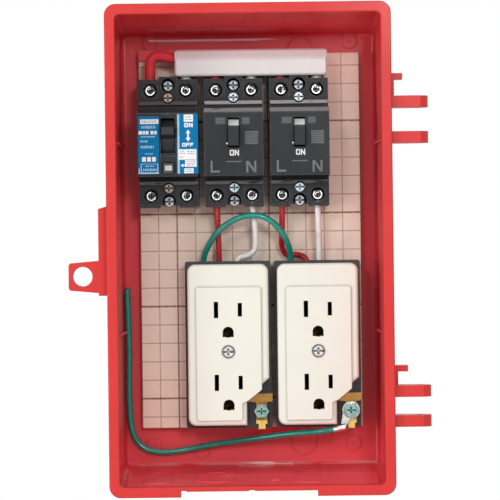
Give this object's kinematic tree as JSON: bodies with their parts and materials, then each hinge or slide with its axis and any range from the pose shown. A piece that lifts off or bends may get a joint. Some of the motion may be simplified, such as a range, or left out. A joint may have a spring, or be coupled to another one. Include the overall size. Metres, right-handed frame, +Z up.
{
  "type": "open breaker box with residual-current breaker and duplex receptacles",
  "caption": "Wall-mounted red plastic power box, lid off: residual-current main breaker, branch breakers, crossover cover, duplex earthed receptacles and leads.",
  "frame": {"origin": "centre of the flat back face that lies on the wall", "axes": "+X to the right seen from the front, +Z up, the open front faces -Y and +Y points into the wall"},
  "size_m": [0.1894, 0.078, 0.2574],
  "materials": {
    "board": "matte board with a printed 10 mm grid",
    "box_red": "semi-gloss moulded plastic",
    "brass": "stamped brass",
    "breaker_black": "moulded phenolic",
    "circuit_green": "laminate",
    "coil": "wound bobbin",
    "contact_bronze": "spring bronze",
    "copper": "plated copper",
    "earth_screw_green": "green chromate",
    "ferrite": "coated core",
    "handle_black": "moulded toggle with a white flag",
    "label_blue": "printed film",
    "receptacle_black": "moulded thermoset",
    "receptacle_ivory": "satin ivory plastic",
    "steel": "zinc plated",
    "test_button": "moulded button with a white mark",
    "tin": "tinned copper",
    "white_cover": "glossy moulded plastic",
    "wire_green": "PVC insulation",
    "wire_red": "PVC insulation",
    "wire_white": "PVC insulation"
  },
  "bodies": {
    "box": {"board_screws": "steel", "box_body": "box_red", "branch_a_arc_chutes": "steel", "branch_a_base": "breaker_black", "branch_a_cover": "breaker_black", "branch_a_terminal_plates": "copper", "branch_a_trip_unit": "contact_bronze", "branch_b_arc_chutes": "steel", "branch_b_base": "breaker_black", "branch_b_cover": "breaker_black", "branch_b_terminal_plates": "copper", "branch_b_trip_unit": "contact_bronze", "breaker_cover_screws": "steel", "breaker_mounting_screws": "steel", "crossover_cover": "white_cover", "crossover_line_lead": "wire_red", "crossover_neutral_lead": "wire_white", "earth_jumper": "wire_green", "earth_lead": "wire_green", "earth_lug": "tin", "elb_arc_chutes": "steel", "elb_base": "breaker_black", "elb_circuit_board": "circuit_green", "elb_cover": "breaker_black", "elb_current_transformer": "ferrite", "elb_label_left": "label_blue", "elb_label_right": "label_blue", "elb_terminal_plates": "copper", "elb_test_contact": "contact_bronze", "elb_trip_coil": "coil", "handle_pins": "steel", "lead_red_a": "wire_red", "lead_red_b": "wire_red", "lead_white_a": "wire_white", "lead_white_b": "wire_white", "mounting_board": "board", "receptacle_a_base": "receptacle_black", "receptacle_a_cover": "receptacle_ivory", "receptacle_a_earth_strap": "brass", "receptacle_a_line_contacts": "brass", "receptacle_a_neutral_contacts": "brass", "receptacle_b_base": "receptacle_black", "receptacle_b_cover": "receptacle_ivory", "receptacle_b_earth_strap": "brass", "receptacle_b_line_contacts": "brass", "receptacle_b_neutral_contacts": "brass", "receptacle_centre_screws": "steel", "receptacle_earth_screws": "earth_screw_green", "receptacle_mounting_screws": "steel", "terminal_clamps": "steel", "terminal_screws": "steel"},
    "elb_toggle": {"elb_handle": "handle_black"},
    "elb_contacts": {"elb_moving_contacts": "contact_bronze"},
    "elb_test": {"elb_test_button": "test_button"},
    "elb_plunger": {"elb_trip_plunger": "steel"},
    "branch_a_toggle": {"branch_a_handle": "handle_black"},
    "branch_a_contacts": {"branch_a_moving_contacts": "contact_bronze"},
    "branch_b_toggle": {"branch_b_handle": "handle_black"},
    "branch_b_contacts": {"branch_b_moving_contacts": "contact_bronze"}
  },
  "joints": [
    {"name": "elb_toggle_tilt", "type": "hinge", "parent": "box", "child": "elb_toggle", "pos_m": [-0.043, -0.0384, 0.0589], "axis": [1, 0, 0], "range_deg": [0, 23.2]},
    {"name": "elb_contacts_open", "type": "hinge", "parent": "box", "child": "elb_contacts", "pos_m": [-0.043, -0.0305, 0.0493], "axis": [1, 0, 0], "range_deg": [0, 10]},
    {"name": "elb_test_press", "type": "slide", "parent": "box", "child": "elb_test", "axis": [0, 1, 0], "range_m": [0, 0.0015], "stiffness_N_per_m": 400, "springref_m": -0.001},
    {"name": "elb_plunger_pull", "type": "slide", "parent": "box", "child": "elb_plunger", "axis": [0, 0, -1], "range_m": [0, 0.0025], "stiffness_N_per_m": 100, "springref_m": -0.001},
    {"name": "branch_a_toggle_tilt", "type": "hinge", "parent": "box", "child": "branch_a_toggle", "pos_m": [-0.008, -0.04, 0.0621], "axis": [-1, 0, 0], "range_deg": [0, 15]},
    {"name": "branch_a_contacts_close", "type": "hinge", "parent": "box", "child": "branch_a_contacts", "pos_m": [-0.008, -0.0305, 0.0493], "axis": [-1, 0, 0], "range_deg": [0, 8]},
    {"name": "branch_b_toggle_tilt", "type": "hinge", "parent": "box", "child": "branch_b_toggle", "pos_m": [0.027, -0.04, 0.0621], "axis": [-1, 0, 0], "range_deg": [0, 15]},
    {"name": "branch_b_contacts_close", "type": "hinge", "parent": "box", "child": "branch_b_contacts", "pos_m": [0.027, -0.0305, 0.0493], "axis": [-1, 0, 0], "range_deg": [0, 8]}
  ],
  "couplings": [
    {"joint": "elb_contacts_open", "follows": "elb_toggle_tilt", "ratio": 0.43102},
    {"joint": "branch_a_contacts_close", "follows": "branch_a_toggle_tilt", "ratio": 0.5333},
    {"joint": "branch_b_contacts_close", "follows": "branch_b_toggle_tilt", "ratio": 0.5333}
  ]
}
